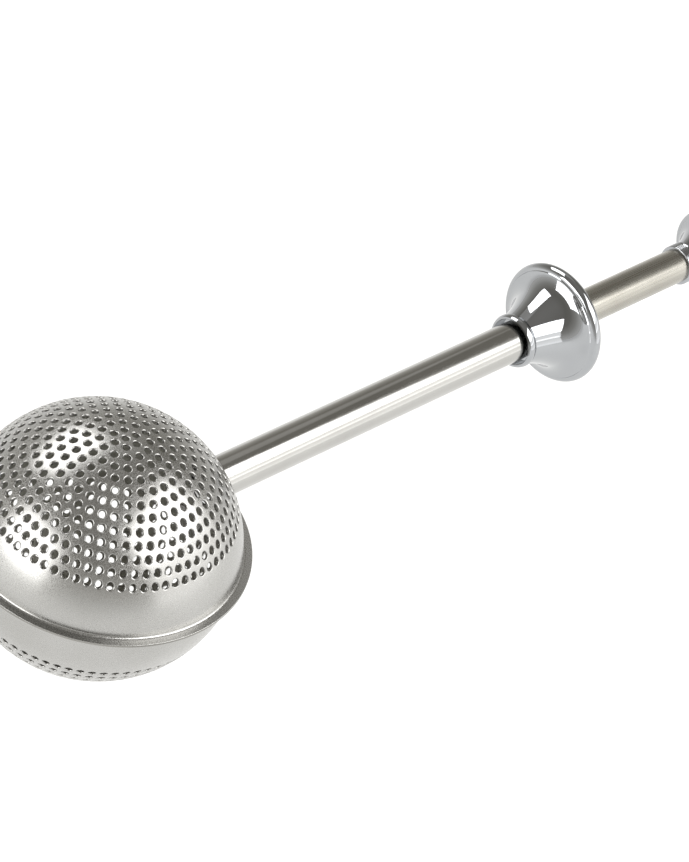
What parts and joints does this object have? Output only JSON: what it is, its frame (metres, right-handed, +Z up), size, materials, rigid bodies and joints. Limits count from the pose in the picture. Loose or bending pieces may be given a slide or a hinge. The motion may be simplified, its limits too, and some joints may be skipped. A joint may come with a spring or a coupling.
{
  "type": "push-plunger tea infuser",
  "caption": "Perforated two-part steel tea ball on a long tube handle, with a bell finger rest and a push knob that swings the lower half open.",
  "frame": {"origin": "on the surface under the middle of the closed infuser, level with the bottom of the ball", "axes": "+X along the handle from the ball to the knob, +Z up out of the upper half ball"},
  "size_m": [0.1876, 0.0528, 0.0474],
  "materials": {
    "shell_steel": "polished stainless sheet, semi-mirror",
    "tube_steel": "polished stainless tube, fine drawn lines",
    "chrome_trim": "bright mirror chrome",
    "bracket_steel": "pressed stainless strip, satin",
    "pin_steel": "turned stainless",
    "rod_steel": "turned stainless, satin",
    "spring_steel": "drawn spring wire",
    "nylon": "natural white nylon"
  },
  "bodies": {
    "handle": {"upper_shell": "shell_steel", "outer_tube": "tube_steel", "socket_collar": "bracket_steel", "collar_rivets": "pin_steel", "hinge_yoke": "bracket_steel", "hinge_pin": "pin_steel", "hinge_spacers": "pin_steel", "guide_bush": "nylon", "return_spring": "spring_steel", "finger_flange": "chrome_trim", "guide_ring": "nylon"},
    "plunger": {"rod_fork": "rod_steel", "fork_pin": "pin_steel", "push_rod": "rod_steel", "stop_collar": "rod_steel", "front_plug": "nylon", "inner_tube": "tube_steel", "rear_plug": "nylon", "knob_stud": "pin_steel", "knob_ferrule": "chrome_trim", "knob": "chrome_trim"},
    "jaw": {"lower_shell": "shell_steel", "hinge_lever": "bracket_steel", "lever_rivets": "pin_steel", "drive_pin": "pin_steel"}
  },
  "joints": [
    {"name": "plunger_slide", "type": "slide", "parent": "handle", "child": "plunger", "axis": [-1, 0, 0], "range_m": [0, 0.01543], "stiffness_N_per_m": 300, "springref_m": -0.01, "deforming": ["return_spring"]},
    {"name": "jaw_hinge", "type": "hinge", "parent": "handle", "child": "jaw", "pos_m": [-0.0419, 0, 0.014], "axis": [0, -1, 0], "range_deg": [0, 80.5]}
  ],
  "couplings": [
    {"joint": "jaw_hinge", "follows": "plunger_slide", "rad_per_m": 90.508}
  ]
}
